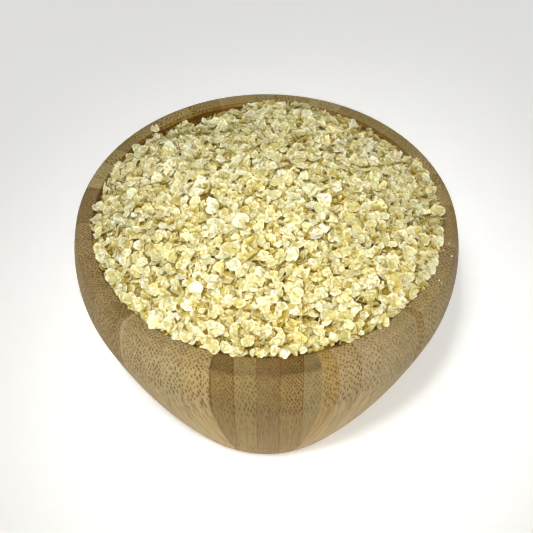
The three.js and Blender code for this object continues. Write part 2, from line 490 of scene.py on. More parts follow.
# %% Bamboo: the look of each strip
strip_seed = add(wood, "ShaderNodeCombineXYZ", {"X": strip, "Y": stave["stave_number"], "Z": 7.0})
drawn = add(wood, "ShaderNodeTexWhiteNoise", {"Vector": strip_seed}, "Color", noise_dimensions="3D")
drawn_parts = add(wood, "ShaderNodeSeparateColor", {"Color": drawn}).node.outputs
hidden_tones = [linear(c) for c in ("#978254", "#a7925f", "#9b8759", "#b6a473", "#a8955f")]
hidden_stops = [(i / len(hidden_tones), tone) for i, tone in enumerate(hidden_tones)]
drawn_colour = ramp(wood, drawn_parts["Red"], hidden_stops)
hidden_bundles = calculate_vector(wood, "MULTIPLY", drawn, (1, 1, 0.4))

capped = add(wood, "ShaderNodeClamp", {"Value": strip, "Min": 0.0, "Max": strips_per_stave - 1.0})
strip_index = calculate(wood, "MULTIPLY_ADD", stave["stave_number"], float(strips_per_stave), capped)
index_share = calculate(wood, "MULTIPLY_ADD", strip_index, 1 / seen_count, 0.5 / seen_count)
closest, widest = SPACING_RANGE
colour_stops, bundle_stops = [], []
for i, (colour, dark, apart, darkening_near_rim) in enumerate(looks):
    colour_stops.append((i / seen_count, linear(colour)))
    bundle_stops.append((i / seen_count, (dark, (apart - closest) / (widest - closest), darkening_near_rim, 1)))
seen_colour = ramp(wood, index_share, colour_stops, "CONSTANT")
seen_bundles = ramp(wood, index_share, bundle_stops, "CONSTANT")

is_seen = calculate(wood, "LESS_THAN", stave["stave_number"], len(seen_strips) - 0.5)
tissue = mix(wood, is_seen, drawn_colour, seen_colour)
bundle_look = mix(wood, is_seen, hidden_bundles, seen_bundles)
bundle_parts = add(wood, "ShaderNodeSeparateColor", {"Color": bundle_look}).node.outputs
darkness = remap(wood, bundle_parts["Red"], 0, 1, 0.12, 0.95)
spacing = remap(wood, bundle_parts["Green"], 0, 1, closest, widest)
print(f"bamboo: {len(wood.nodes)} nodes with the strips' looks")

# %% [markdown]
# The bundles are the cells of a flat Voronoi texture across the fibres: a dark middle in each cell, with a
# soft edge. They stand in loose rows, are larger towards the side of the strip that was the outside of the
# cane, and no two are quite as large. Where the surface runs along the fibres they are cut lengthwise and
# look fainter. So do they on the round of the lip, which is sanded and handled most.

# %% Bamboo: fibre bundles
OUT_OF_STEP = 90.0  # mm by which a strip's pattern may be shifted from its neighbour's
shifted = calculate_vector(wood, "ADD", along, scaled(wood, drawn, OUT_OF_STEP))
flattened = calculate_vector(wood, "MULTIPLY", shifted, (1, 1, 0.12))
wander_noise = noise(wood, flattened, 0.35, 1.0, "Color")
wander = calculate_vector(wood, "MULTIPLY_ADD", wander_noise, (1.0, 1.6, 0), shifted)
in_rows = add(
    wood, "ShaderNodeVectorRotate", {"Vector": wander, "Angle": math.radians(38)}, rotation_type="Z_AXIS"
)
per_spacing = calculate(wood, "DIVIDE", 1.0, spacing)
cells = add(
    wood, "ShaderNodeTexVoronoi", {"Vector": in_rows, "Scale": per_spacing, "Randomness": 0.42}, "Distance",
    voronoi_dimensions="2D",
)
cell_random = add(wood, "ShaderNodeSeparateColor", {"Color": cells.node.outputs["Color"]}, "Red")
skin_side = remap(wood, in_strip, 0, 1, 0.8, 1.15)
reach = product(wood, remap(wood, cell_random, 0, 1, 0.27, 0.36), skin_side)
past_edge = calculate(wood, "SUBTRACT", cells, reach)
bundle = remap(wood, past_edge, -0.13, 0.06, 1, 0, interpolation_type="SMOOTHSTEP")
cut_across = remap(wood, end_grain, 0, 0.2, 0.35, 1)

RIM_MM = RIM / MM
lip_rises = remap(wood, height_mm, RIM_MM - 1.9, RIM_MM - 0.9)
lip_ends = remap(wood, height_mm, RIM_MM - 0.12, RIM_MM - 0.01, 1, 0)
on_lip = product(wood, lip_rises, lip_ends)
unworn = calculate(wood, "MULTIPLY_ADD", on_lip, -0.15, 1.0)
bundle_seen = product(wood, bundle, darkness, unworn, cut_across)
print(f"bamboo: {len(wood.nodes)} nodes with the bundles")

# %% [markdown]
# Colour is built up as it is on the bowl: the strip's own colour, slow changes along the fibres, then the
# dark bundles, the thin brown glue lines between strips, and the wider lines at the joints of the staves.
# The glue squeezed out in beads, so none of its lines is even, and at the joints they fade down the wall.

# %% Bamboo: grain and glue
grain = noise(wood, calculate_vector(wood, "MULTIPLY", shifted, (1, 1, 0.05)), 0.7, 5.0, Roughness=0.62)
grain_light = remap(wood, grain, 0.3, 0.7, 0.82, 1.14)
fibres = noise(wood, calculate_vector(wood, "MULTIPLY", shifted, (1, 0.22, 0.045)), 1.4, 2.0)
fibre_light = remap(wood, fibres, 0.34, 0.46, -0.22, 0.03)
lengthwise = calculate(wood, "SUBTRACT", 1.0, cut_across)
fibre_shade = calculate(wood, "MULTIPLY_ADD", fibre_light, lengthwise, 1.0)
grained = scaled(wood, tissue, product(wood, grain_light, fibre_shade))
bundled = mix(wood, bundle_seen, grained, linear("#68410a"))

in_front = calculate(wood, "COMPARE", stave["stave_number"], float(FRONT), 0.5)
glue = remap(wood, calculate(wood, "SUBTRACT", 1.0, in_strip), 0.02, 0.065, 0.8, 0)
glue_here = remap(wood, in_front, 0, 1, 0.15, 0.9)
bead_noise = noise(wood, calculate_vector(wood, "MULTIPLY", along, (1, 1, 0.5)), 0.9, 1.0)
beads = remap(wood, bead_noise, 0.4, 0.58, 0.25, 1)
glued = mix(wood, product(wood, glue, glue_here, beads), bundled, linear("#6e3a0c"))

joint = remap(wood, from_mesh(wood, "to_joint"), 0.2, 0.7, 0.8, 0)
joint_tone = from_mesh(wood, "joint_tone")
light_line = calculate(wood, "MULTIPLY", joint, joint_tone, use_clamp=True)
dark_joint = calculate(wood, "MULTIPLY", product(wood, joint, joint_tone), -1.0, use_clamp=True)
high_up = remap(wood, height_mm, 30.0, 62.0)
dark_line = product(wood, dark_joint, beads, high_up)
jointed = mix(wood, dark_line, mix(wood, light_line, glued, linear("#cdb88c")), linear("#5f3410"))
print(f"bamboo: {len(wood.nodes)} nodes with grain and glue")

# %% [markdown]
# The rim is darker, each strip by its own amount, and on the front the round of the lip is darkened as
# painted shade. Where the wall runs along the fibres it is paler. Inside, the wall gets painted shade: a dark
# brown band of painted shadow on the round of the mouth, and further in a warmer, darker brown that stands
# for the light coming back from the millet and the wood opposite.

# %% Bamboo: darker rim and painted shade
# This tint darkens the rim, and also paints shade on the round of the lip at the front.
RIM_DARK_TINT = (0.47, 0.42, 0.32, 1)
rim_height = remap(wood, height_mm, RIM_MM - 8, RIM_MM)
on_rim = ramp(wood, rim_height, [(0.0, grey(0)), (0.5, grey(0.08)), (0.72, grey(0.4)), (0.85, grey(1))])
strip_rim_darkening = product(wood, on_rim, bundle_parts["Blue"])
# The rim's darkening per strip, plus painted shade on the round of the lip at the front.
darkening_near_rim = calculate(wood, "MULTIPLY_ADD", product(wood, on_lip, in_front), 0.3, strip_rim_darkening, use_clamp=True)
rim_darkened_and_shaded = mix(wood, darkening_near_rim, jointed, RIM_DARK_TINT, "MULTIPLY")
dry = remap(wood, end_grain, 0.03, 0.22, 1, 0)
dry_tone = mix(wood, in_front, (1.19, 1.14, 1.02, 1), (1.15, 1.06, 0.8, 1))
dried = calculate_vector(wood, "MULTIPLY", rim_darkened_and_shaded, mix(wood, dry, grey(1), dry_tone))

outward = calculate_vector(wood, "MULTIPLY", in_mm, (1, 1, 0))
facing_out = add(wood, "ShaderNodeVectorMath", {0: outward, 1: normal}, "Value", operation="DOT_PRODUCT")
# Painted shade inside the bowl: a dark brown band of painted shadow on the round of the mouth, then a warmer,
# darker brown on the inner wall for light that comes back from the millet.
inner_wall_shade = ramp(wood, remap(wood, facing_out, -6.0, -48.0), [
    (0.0, grey(1)),
    (0.25, (0.5, 0.38, 0.2, 1)),
    (1.0, (1.0, 0.73, 0.33, 1)),
])
inner_wall_shaded = calculate_vector(wood, "MULTIPLY", dried, inner_wall_shade)
print(f"bamboo: {len(wood.nodes)} nodes with the oil")

# %% [markdown]
# Two small flaws show on the front: a dark pin knot with a paler ring on the left, and lower down a short
# crack across one strip. Each is a spot round a place on the wall.

# %% Bamboo: a knot and a crack


def on_wall(azimuth, down):
    """The place in mm at an angle round from the front and a way down the wall from the rim's flat."""
    steps = np.linalg.norm(np.diff(outer, axis=0), axis=1)
    r, z = [np.interp(down * MM, np.append(0, np.cumsum(steps)), outer[:, i]) / MM for i in (0, 1)]
    return np.array([r * math.sin(math.radians(azimuth)), -r * math.cos(math.radians(azimuth)), z])


def spot_at(centre, half_size):
    """How far a point lies from a flaw's middle, where 1 is its edge."""
    from_centre = calculate_vector(wood, "SUBTRACT", in_mm, tuple(centre))
    shares = calculate_vector(wood, "MULTIPLY", from_centre, tuple(1 / h for h in half_size))
    return add(wood, "ShaderNodeVectorMath", {0: shares}, "Value", operation="LENGTH")


knot = spot_at(on_wall(-24.8, 27.8), (0.8, 0.8, 0.7))
knot_colour = ramp(wood, product(wood, knot, 0.25), [
    (0.0, grey(0.35)),
    (0.22, (0.6, 0.58, 0.55, 1)),
    (0.4, grey(1.12)),
    (0.9, grey(1)),
])
crack = spot_at(on_wall(-4.2, 44.2), (2.4, 3.0, 0.42))
knotted = calculate_vector(wood, "MULTIPLY", inner_wall_shaded, knot_colour)
flawed = scaled(wood, knotted, remap(wood, crack, 0.4, 1.0, 0.5, 1.0))
print(f"bamboo: {len(wood.nodes)} nodes with the flaws")

# %% [markdown]
# The satin is all in the roughness. Cut bundles are a little rougher than the soft tissue round them, and
# stand a hair lower.

# %% Bamboo: surface
bump = add(
    wood, "ShaderNodeBump", {"Strength": 0.3, "Distance": 0.05 * MM, "Height": bundle_seen}, invert=True
)
skin = add(wood, "ShaderNodeBsdfPrincipled", {
    "Base Color": flawed,
    "Roughness": remap(wood, bundle_seen, 0, 1, 0.55, 0.68),
    "Normal": bump,
    "IOR": 1.47,
    "Specular IOR Level": 0.12,
})
add(wood, "ShaderNodeOutputMaterial", {"Surface": skin})
bowl.data.materials.append(bamboo)
print(f"bamboo: {len(wood.nodes)} nodes")

# %% [markdown]
# ## The heap
# The flakes rise over the brim in a full low dome. At two places at the back they sink below the rim and show
# the inner wall. This surface is the solid heap's, only a little lower in the middle, because the flakes that
# lie on it stand up over it. Under it lies a core in the dark brown of painted shade, so that the gaps
# between flakes look into more millet and not into the bowl.

# %% Surface of the heap
DOME = 10.6 * MM
DOME_FULLNESS = 2.3  # 2 is a parabola, more is flatter on top
CLEARANCE = 0.3 * MM
HEAP_RADIUS = MOUTH - CLEARANCE
DIPS = [(206, 3.2 * MM, 15), (140, 1.8 * MM, 17)]  # degrees from the front, depth, spread in degrees
DIP_REACH = 15 * MM
rng = np.random.default_rng(41)


def heap_level(x, y):
    """Height of the smooth heap over a point."""
    out = np.minimum(np.hypot(x, y), HEAP_RADIUS)
    direction = np.degrees(np.arctan2(x, -y))
    level = RIM + DOME * (1 - (out / HEAP_RADIUS) ** DOME_FULLNESS)
    near_rim = np.exp(-(((HEAP_RADIUS - out) / DIP_REACH) ** 2))
    for at, depth, spread in DIPS:
        turn = np.abs((direction - at + 180) % 360 - 180)
        level = level - near_rim * depth * np.exp(-((turn / spread) ** 2))
    return level


print(f"heap top at {heap_level(np.array(0.0), np.array(0.0)) / MM:.1f} mm")

# %% [markdown]
# ## Piling up
# Real flakes come to rest on whatever lies under them. So they are laid one by one, and the pile keeps a fine
# map of its heights. After some five and a half thousand flakes the map has reached the surface of the heap,
# and all the leaning, bridging and gaps have come by themselves.

# %% Sizes of the flakes and the map of heights
FLAKE_SIZE = 2.95 * MM  # of the middling flake
FLAKE_SPREAD = 0.75 * MM
FLAKE_RANGE = (1.5 * MM, 4.8 * MM)
FLAKE_THICKNESS = 0.32 * MM
HEAP_TOP = 92.7 * MM
LAYER = 3.0 * MM  # depth of loose flakes over the core
CELL = 0.3 * MM
HALF_MAP = 60 * MM
grid = np.arange(-HALF_MAP, HALF_MAP, CELL)
map_x, map_y = np.meshgrid(grid, grid, indexing="ij")
map_out = np.hypot(map_x, map_y)
goal = heap_level(map_x, map_y)
heights = np.where(map_out < MOUTH, goal - LAYER, RIM)
heights = np.where(map_out > WIDEST - LIP_ROUND, RIM - 2 * MM, heights)  # past the rim's flat
print(f"map of {len(grid)} by {len(grid)} heights")

# %% [markdown]
# A flake falls as a flat disc. A plane through the heights under its middle gives its lie, and a chance tilt
# comes on top. It drops until only a stated part of its underside is still clear of the pile, and raises the
# map where it lies.

# %% How a flake comes to rest
FELT = 0.45  # of its size: how far out from its middle a flake feels the pile
FARTHEST = 0.55  # of its size, from a flake's middle to its farthest point
FLATTEST_FACE = 0.3  # least upward part of a flake's facing


def drop_flake(x, y, size, tilt, tilt_toward, touch_share):
    """Lays a disc at a point. Returns its middle and the direction of its face, and raises the map."""
    reach = int(size / 2 / CELL) + 1
    i, j = int((x + HALF_MAP) / CELL), int((y + HALF_MAP) / CELL)
    window = (slice(i - reach, i + reach + 1), slice(j - reach, j + reach + 1))
    dx, dy = map_x[window] - x, map_y[window] - y
    under = heights[window]
    near = dx**2 + dy**2 < (FELT * size) ** 2
    columns = np.column_stack([dx[near], dy[near], np.ones(near.sum())])
    slope_x, slope_y, _ = np.linalg.lstsq(columns, under[near], rcond=None)[0]
    face = Vector((-slope_x, -slope_y, 1)).normalized()
    face.rotate(Matrix.Rotation(tilt, 3, Vector((math.cos(tilt_toward), math.sin(tilt_toward), 0))))
    face.z = max(face.z, FLATTEST_FACE)
    face.normalize()
    plane = -(face.x * dx + face.y * dy) / face.z
    covered = dx**2 + dy**2 + plane**2 < (size / 2) ** 2
    half = FLAKE_THICKNESS / 2 / face.z
    lift = np.percentile((under - plane)[covered], touch_share) + half
    lift = min(lift, HEAP_TOP - FARTHEST * size * math.sqrt(1 - face.z**2) - FLAKE_THICKNESS)
    heights[window] = np.where(covered, np.maximum(under, lift + plane + half), under)
    return (x, y, lift), face


# %% [markdown]
# The pile has to grow evenly, so each flake goes to the emptiest of a few random spots. Where the heap sinks
# below the rim, none may hang over the mouth's edge.

# %% Where the next flake goes
HEAP_SHIFT = (0.6 * MM, -0.6 * MM)  # the heap stands a little to the right and to the front
SUNK = 0.4 * MM  # under the rim


def emptiest_spot(tries, reach):
    """The place farthest below the heap's surface out of a few random ones."""
    far = reach * np.sqrt(rng.random(tries))
    turn = rng.random(tries) * 2 * np.pi
    x, y = HEAP_SHIFT[0] + far * np.sin(turn), HEAP_SHIFT[1] - far * np.cos(turn)
    i, j = ((x + HALF_MAP) / CELL).astype(int), ((y + HALF_MAP) / CELL).astype(int)
    best = np.argmin(heights[i, j] - goal[i, j])
    return x[best], y[best]


def inside_rim(x, y, size):
    """Moves a flake in from the rim, unless the heap stands high enough there for it to hang over."""
    low_here = RIM - float(heap_level(np.array(x), np.array(y))) > SUNK
    pull = min(1, (MOUTH - FARTHEST * size) / math.hypot(x, y)) if low_here else 1
    return x * pull, y * pull


# %% [markdown]
# Most flakes lie, and a few stand almost on edge, half sunk between the others. Towards the front, where the
# real heap slid, more of them stand and the rest lie looser.

# %% Pile up the flakes
LYING = dict(chance_tilt=19, touch_share=84)  # degrees; percent of the underside that stays clear
STEEP = dict(chance_tilt=62, touch_share=45)
STEEP_RANGE = (0.75, 1.2)  # times its tilt
STEEP_SHARE = 0.11
LOOSER_IN_FRONT = (14, 0.2)  # degrees of chance tilt and share of steep flakes added at the front rim
TRIES = 5  # random spots to choose from
AT_ONCE = 25  # flakes laid between two looks at the whole map

flakes = []
inside = map_out < HEAP_RADIUS - 2.5 * MM
while (heights - goal)[inside].mean() < 0:
    for _ in range(AT_ONCE):
        size = float(np.clip(rng.normal(FLAKE_SIZE, FLAKE_SPREAD), *FLAKE_RANGE))
        x, y = inside_rim(*emptiest_spot(TRIES, HEAP_RADIUS + 0.2 * MM), size)
        looser = max(0, -y / HEAP_RADIUS)
        manner = STEEP if rng.random() < STEEP_SHARE + LOOSER_IN_FRONT[1] * looser else LYING
        tilt = math.radians(abs(rng.normal(0, 1)) * (LYING["chance_tilt"] + LOOSER_IN_FRONT[0] * looser))
        if manner is STEEP:
            tilt = math.radians(rng.uniform(*STEEP_RANGE) * STEEP["chance_tilt"])
        middle, face = drop_flake(x, y, size, tilt, rng.random() * 2 * math.pi, manner["touch_share"])
        flakes.append((middle, face, size, rng.random() * 2 * math.pi))
print(f"{len(flakes)} flakes piled up")

# %% [markdown]
# All along the front and the sides the last flakes lie across the mouth's edge and hide it. Two more have
# slid off onto the rim at the back.

# %% Lay the flakes at the edge
EDGE_FLAKES = 125
EDGE_ARC = (-118, 122)  # degrees from the front
EDGE_REACH = (-1.6 * MM, -0.15 * MM)  # how far outside the heap's radius their middles lie
EDGE_TILT = 20  # degrees
STRAYED = [  # place on the rim in mm, size in mm, tilt in degrees and towards what turn from the front
    (-36.4, 40.0, 2.9, 12, 40),
    (-42.1, 32.0, 2.6, 20, 200),
]
edge_rng = np.random.default_rng(7)
for turn in np.radians(np.linspace(*EDGE_ARC, EDGE_FLAKES) + edge_rng.normal(0, 1.2, EDGE_FLAKES)):
    out = HEAP_RADIUS + edge_rng.uniform(*EDGE_REACH)
    size = float(np.clip(edge_rng.normal(FLAKE_SIZE, FLAKE_SPREAD), *FLAKE_RANGE))
    tilt = math.radians(abs(edge_rng.normal(0, EDGE_TILT)))
    x, y = HEAP_SHIFT[0] + out * math.sin(turn), HEAP_SHIFT[1] - out * math.cos(turn)
    middle, face = drop_flake(x, y, size, tilt, edge_rng.random() * 2 * math.pi, LYING["touch_share"])
    flakes.append((middle, face, size, edge_rng.random() * 2 * math.pi))

for x, y, size, tilt, toward in STRAYED:
    lean = math.radians(toward)
    face = Vector((math.sin(lean), -math.cos(lean), 1 / math.tan(math.radians(tilt)))).normalized()
    lift = 0.5 * size * MM * math.sin(math.radians(tilt)) + FLAKE_THICKNESS
    flakes.append(((x * MM, y * MM, RIM + lift), face, size * MM, rng.random() * 2 * math.pi))
print(f"{len(flakes)} flakes, top at {max(f[0][2] for f in flakes) / MM:.1f} mm")

# %% [markdown]
# Crumbs come last. They roll into the gaps, so each takes the emptiest of several spots and lies on what is
# there. Five lie scattered on the rim at the right.

# %% Scatter the crumbs
CRUMBS = 1000
CRUMB_TRIES = 8
CRUMB_SIZE = (0.7 * MM, 1.9 * MM)
SMALL_CRUMB = (0.5 * MM, 0.8 * MM)
STRAYED_CRUMBS = [(55.5, -9.9), (53.6, -12.8), (56.0, -15.2), (51.3, -24.8), (52.0, -25.9)]  # mm
crumbs = []
for _ in range(CRUMBS):
    x, y = emptiest_spot(CRUMB_TRIES, HEAP_RADIUS - 2 * MM)
    size = float(rng.uniform(*CRUMB_SIZE))
    z = heights[int((x + HALF_MAP) / CELL), int((y + HALF_MAP) / CELL)]
    face = Vector((rng.normal(0, 0.5), rng.normal(0, 0.5), 1)).normalized()
    crumbs.append(((x, y, min(z, HEAP_TOP - size)), face, size, rng.random() * 2 * math.pi))
for x, y in STRAYED_CRUMBS:
    size = float(rng.uniform(*SMALL_CRUMB))
    crumbs.append(((x * MM, y * MM, RIM + 0.25 * size), Vector((0, 0, 1)), size, rng.random() * 2 * math.pi))
print(f"{len(crumbs)} crumbs")

# %% [markdown]
# ## The shapes of the flakes
# Rolling cracks a round millet seed into a thin, torn and crumpled scrap. Some stay flat, some curl like a
# shell or fold over, some break, and some hang together in twos. Each kind is a recipe of a few numbers, and
# one function makes its variants from them.

# %% Kinds of flakes
VARIANTS = 8
KINDS = {
    # share: part of all flakes; stretch: length over width; curl, fold and crumple: heights in flake widths;
    # tear: how deep the torn notches go; cuts: straight broken edges, from and to this far from the middle
    "flat_flakes": dict(
        share=0.3, stretch=1.1, curl=(-0.3, 0.6), fold=0.3, crumple=0.028, tear=0.35, cuts=(1, 0.38, 0.55)
    ),
    "curled_flakes": dict(
        share=0.25, stretch=1.2, curl=(0.7, 1.6), fold=0.2, crumple=0.028, tear=0.35, cuts=(1, 0.38, 0.55)
    ),
    "folded_flakes": dict(
        share=0.2, stretch=1.1, curl=(-0.3, 0.3), fold=1.6, crumple=0.04, tear=0.4, cuts=(1, 0.4, 0.55)
    ),
    "joined_flakes": dict(
        share=0.07, stretch=1.35, curl=(-0.3, 0.4), fold=0.5, crumple=0.06, tear=0.6, cuts=(1, 0.4, 0.5)
    ),
    "broken_flakes": dict(
        share=0.18, stretch=1.2, curl=(-0.3, 0.6), fold=0.4, crumple=0.03, tear=0.3, cuts=(3, 0.12, 0.36)
    ),
}
print(f"{len(KINDS)} kinds of flakes")

# %% [markdown]
# A flake's outline is a ring of points in slow waves, with two notches torn in and sides broken off straight.

# %% Outline of a flake
OUTLINE_POINTS = 16
OUTLINE_WAVES = ((2, 0.06), (3, 0.055), (5, 0.035))  # how many in a round, and their height in flake widths
NOTCHES = 2


def flake_outline(stretch, tear, cuts):
    """A ring of points about 1 across, round its own middle."""
    n = OUTLINE_POINTS
    turn = (np.arange(n) + rng.uniform(-0.35, 0.35, n)) * 2 * np.pi / n
    reach = 0.52 + rng.uniform(-0.02, 0.02, n)
    for waves, height in OUTLINE_WAVES:
        reach = reach + height * np.sin(waves * turn + rng.random() * 6.3)
    torn = rng.choice(n, NOTCHES, replace=False)
    reach[torn] *= 1 - tear * rng.random(NOTCHES)
    x, y = reach * np.cos(turn) * stretch**0.6, reach * np.sin(turn) * stretch**-0.4
    count, nearest, farthest = cuts
    for _ in range(count):
        toward, at = rng.random() * 2 * np.pi, rng.uniform(nearest, farthest)
        past = np.maximum(x * np.cos(toward) + y * np.sin(toward) - at, 0)
        x, y = x - past * np.cos(toward), y - past * np.sin(toward)
    return x - x.mean(), y - y.mean()


# %% [markdown]
# Inside the outline lies a smaller ring. Both are pushed up and down a little for the creases, and the
# smaller one comes again underneath, so that the edge is as thin as a knife's. The whole is bent, cupped,
# twisted and folded. A shape that is repeated hundreds of times has to stay light, so each has only about
# sixty faces. Every point knows how far out it lies, for the paler edge.

# %% Shape of a flake
INNER_RING = 0.6  # of the way out


def flake_mesh(name, stretch, curl, fold, crumple, tear, cuts):
    """One flake 1 across, lying in its own XY plane, with its thickness and creases in the same unit."""
    n = OUTLINE_POINTS
    x, y = flake_outline(stretch, tear, cuts)
    bend, cup, twist = rng.uniform(*curl), rng.normal(0, 0.12), rng.normal(0, 0.2)
    bend_axis, fold_axis = rng.random(2) * np.pi
    crest, slant = rng.uniform(-0.12, 0.12), rng.uniform(0.4, 1.0) * fold * rng.choice([-1, 1])

    def lifted(px, py, extra=0.0):
        along_bend = px * np.cos(bend_axis) + py * np.sin(bend_axis)
        from_crest = px * np.cos(fold_axis) + py * np.sin(fold_axis) - crest
        height = bend * along_bend**2 + cup * (px**2 + py**2) + twist * px * py
        return np.column_stack([px, py, height + slant * np.abs(from_crest) * 0.5 + extra])

    middle = lifted(np.zeros(1), np.zeros(1), rng.normal(0, crumple))
    in_x, in_y = INNER_RING * x + rng.uniform(-0.05, 0.05, n), INNER_RING * y + rng.uniform(-0.05, 0.05, n)
    inner_ring = lifted(in_x, in_y, rng.normal(0, crumple, n))
    rim_ring = lifted(x, y, rng.normal(0, crumple, n))
    thick = FLAKE_THICKNESS / FLAKE_SIZE
    points = np.vstack([middle, inner_ring, rim_ring, inner_ring - (0, 0, thick), middle - (0, 0, thick)])
    points[:, 2] += thick / 2 - rim_ring[:, 2].mean() / 2
    sheet = []
    for a in range(n):
        b = (a + 1) % n
        sheet.append((0, 1 + a, 1 + b))
        sheet.append((1 + a, 1 + n + a, 1 + n + b, 1 + b))
        sheet.append((1 + n + a, 1 + 2 * n + a, 1 + 2 * n + b, 1 + n + b))
        sheet.append((1 + 2 * n + a, 1 + 3 * n, 1 + 2 * n + b))
    piece = mesh_object(name, points, sheet, smooth_angle=26)
    inner_outness = np.full(n, INNER_RING)
    give(piece.data, "outness", np.concatenate([[0], inner_outness, np.full(n, 1), inner_outness, [0]]))
    return piece


# %% [markdown]
# The variants of a kind go into a collection of their own, out of the scene, for Geometry Nodes to pick from.

# %% Make the variants


def keep_as_shapes(name, pieces):
    """Moves pieces out of the scene into a collection of shapes to pick from."""
    collection = bpy.data.collections.new(name)
    for piece in pieces:
        bpy.context.scene.collection.objects.unlink(piece)
        collection.objects.link(piece)
    print(f"{name}: {len(pieces)} shapes of {len(pieces[0].data.polygons)} faces")
    return collection


shapes = {}
for kind, facts in KINDS.items():
    recipe = {key: value for key, value in facts.items() if key != "share"}
    shapes[kind] = keep_as_shapes(kind, [flake_mesh(f"{kind}_{i}", **recipe) for i in range(VARIANTS)])

# %% [markdown]
# Between the flakes lie crumbs, which broke off their edges. They are too small to show a shape, so a lump
# of fourteen triangles will do.

# %% Crumb shapes
CRUMB_POINTS = 7


def crumb_mesh(name):
    """One crumb about 1 across."""
    n = CRUMB_POINTS
    turn = (np.arange(n) + rng.uniform(-0.3, 0.3, n)) * 2 * np.pi / n
    reach = 0.5 * rng.uniform(0.6, 1.1, n)
    ring = np.column_stack([reach * np.cos(turn), 0.8 * reach * np.sin(turn), rng.normal(0, 0.08, n)])
    points = np.vstack([[(0, 0, 0.2)], ring, [(0, 0, -0.2)]])
    sheet = []
    for a in range(n):
        b = (a + 1) % n
        sheet.append((0, 1 + a, 1 + b))
        sheet.append((1 + a, 1 + n, 1 + b))
    piece = mesh_object(name, points, sheet, smooth_angle=24)
    give(piece.data, "outness", [0.3] + [1] * n + [0.3])
    return piece


shapes["crumbs"] = keep_as_shapes("crumbs", [crumb_mesh(f"crumbs_{i}") for i in range(VARIANTS)])

# %% [markdown]
# ## Rolled millet
# A millet flake is pressed starch: pale, dry and matt, and thin enough that light glows through it a
# little. The middle, where the germ was, stays golden, and the frayed edge is whitish. No two flakes are
# the same colour, so each carries its own tint.

# %% Millet: the colour of a flake
millet, starch_tree = new_material("rolled millet starch")
tint = from_mesh(starch_tree, "tint")
spot = add(starch_tree, "ShaderNodeTexCoord", output="Object")
blotch = noise(starch_tree, spot, 950.0, 3.0)
speckle = noise(starch_tree, spot, 2400.0, 2.0)
body = ramp(starch_tree, tint, [
    (0.0, linear("#beb267")),
    (0.3, linear("#d4cf95")),
    (0.6, linear("#dfdfb3")),
    (0.85, linear("#ecebca")),
    (0.95, linear("#f3f2dd")),
    (1.0, linear("#bdbd98")),
])
golden_share = remap(starch_tree, blotch, 0.49, 0.62, 0, 0.6)
golden = mix(starch_tree, golden_share, body, linear("#c6ac4c"))
pale_reach = calculate(starch_tree, "MULTIPLY_ADD", blotch, -1.1, 0.55)
pale_from = calculate(starch_tree, "ADD", from_mesh(starch_tree, "outness"), pale_reach)
pale = remap(starch_tree, pale_from, 0.72, 1.02, 0, 0.8, interpolation_type="SMOOTHSTEP")
edged = mix(starch_tree, pale, golden, linear("#f8f5da"))
speck = remap(starch_tree, speckle, 0.68, 0.74, 0, 0.55)
flecked = mix(starch_tree, speck, edged, linear("#8d6a2c"))
print(f"millet: {len(starch_tree.nodes)} nodes for one flake")

# %% [markdown]
# In a heap, light goes from flake to flake before it comes out again, and turns browner each time. So painted
# shade deepens the colour on undersides, down in the hollows of the pile, and where another flake is very
# near, which draws the fine brown outlines, and the flakes that stand highest are painted lighter. Last, a
# chance tone makes some flakes a little yellower and some a little whiter.

# %% Millet: painted shade between the flakes
# Painted contact shade reaches this far from another flake.
CONTACT_SHADE_REACH = 0.5 * MM  # how near another flake has to be to brown a place
face_up = part_of(starch_tree, add(starch_tree, "ShaderNodeNewGeometry", output="Normal"), "Z")
# Painted shade on the undersides of the flakes.
underside = remap(starch_tree, face_up, -0.1, 0.7, 0.8, 0)
underside_shaded = mix(starch_tree, underside, flecked, (0.8, 0.64, 0.1, 1), "MULTIPLY")
# Painted shade deeper in the pile, and painted light on the flakes that stand highest.
depth_share = remap(starch_tree, from_mesh(starch_tree, "depth"), -1.5, 1.5)
depth_shade = ramp(starch_tree, depth_share, [
    (0.0, (1.1, 1.12, 1.2, 1)),
    (0.42, grey(1)),
    (0.68, (0.96, 0.91, 0.7, 1)),
    (0.87, (0.6, 0.45, 0.1, 1)),
])
depth_shaded = calculate_vector(starch_tree, "MULTIPLY", underside_shaded, depth_shade)
# Painted contact shade where another flake is very near.
occlusion = add(starch_tree, "ShaderNodeAmbientOcclusion", {"Distance": CONTACT_SHADE_REACH}, "AO", samples=6)
contact_shade = remap(starch_tree, occlusion, 0.25, 0.78, 1, 0)
contact_shaded = mix(starch_tree, contact_shade, depth_shaded, (0.8, 0.67, 0.35, 1), "MULTIPLY")
own = add(starch_tree, "ShaderNodeTexWhiteNoise", {"W": tint}, "Value", noise_dimensions="1D")
own_tone = ramp(starch_tree, own, [
    (0.0, (1.03, 0.99, 0.77, 1)),
    (0.3, (1.02, 1, 0.93, 1)),
    (0.7, grey(1)),
    (1.0, (0.97, 0.985, 1.03, 1)),
])
starch_bump = add(starch_tree, "ShaderNodeBump", {"Strength": 0.4, "Distance": 0.06 * MM, "Height": blotch})
starch = add(starch_tree, "ShaderNodeBsdfPrincipled", {
    "Base Color": calculate_vector(starch_tree, "MULTIPLY", contact_shaded, own_tone),
    "Roughness": 0.62,
    "IOR": 1.45,
    "Specular IOR Level": 0.3,
    "Normal": starch_bump,
    "Subsurface Weight": 0.15,
    "Subsurface Radius": (1.0, 0.75, 0.2),
    "Subsurface Scale": 0.35 * MM,
})
add(starch_tree, "ShaderNodeOutputMaterial", {"Surface": starch})
print(f"millet: {len(starch_tree.nodes)} nodes")

# %% [markdown]
# ## From spots to flakes
# Geometry Nodes put a shape on every spot of the pile. The spots are the vertices of a bare mesh, and each
# carries its turn, its size and its tint. The tree picks a variant by a fixed seed, places it, makes it
# real geometry and gives it the millet material.

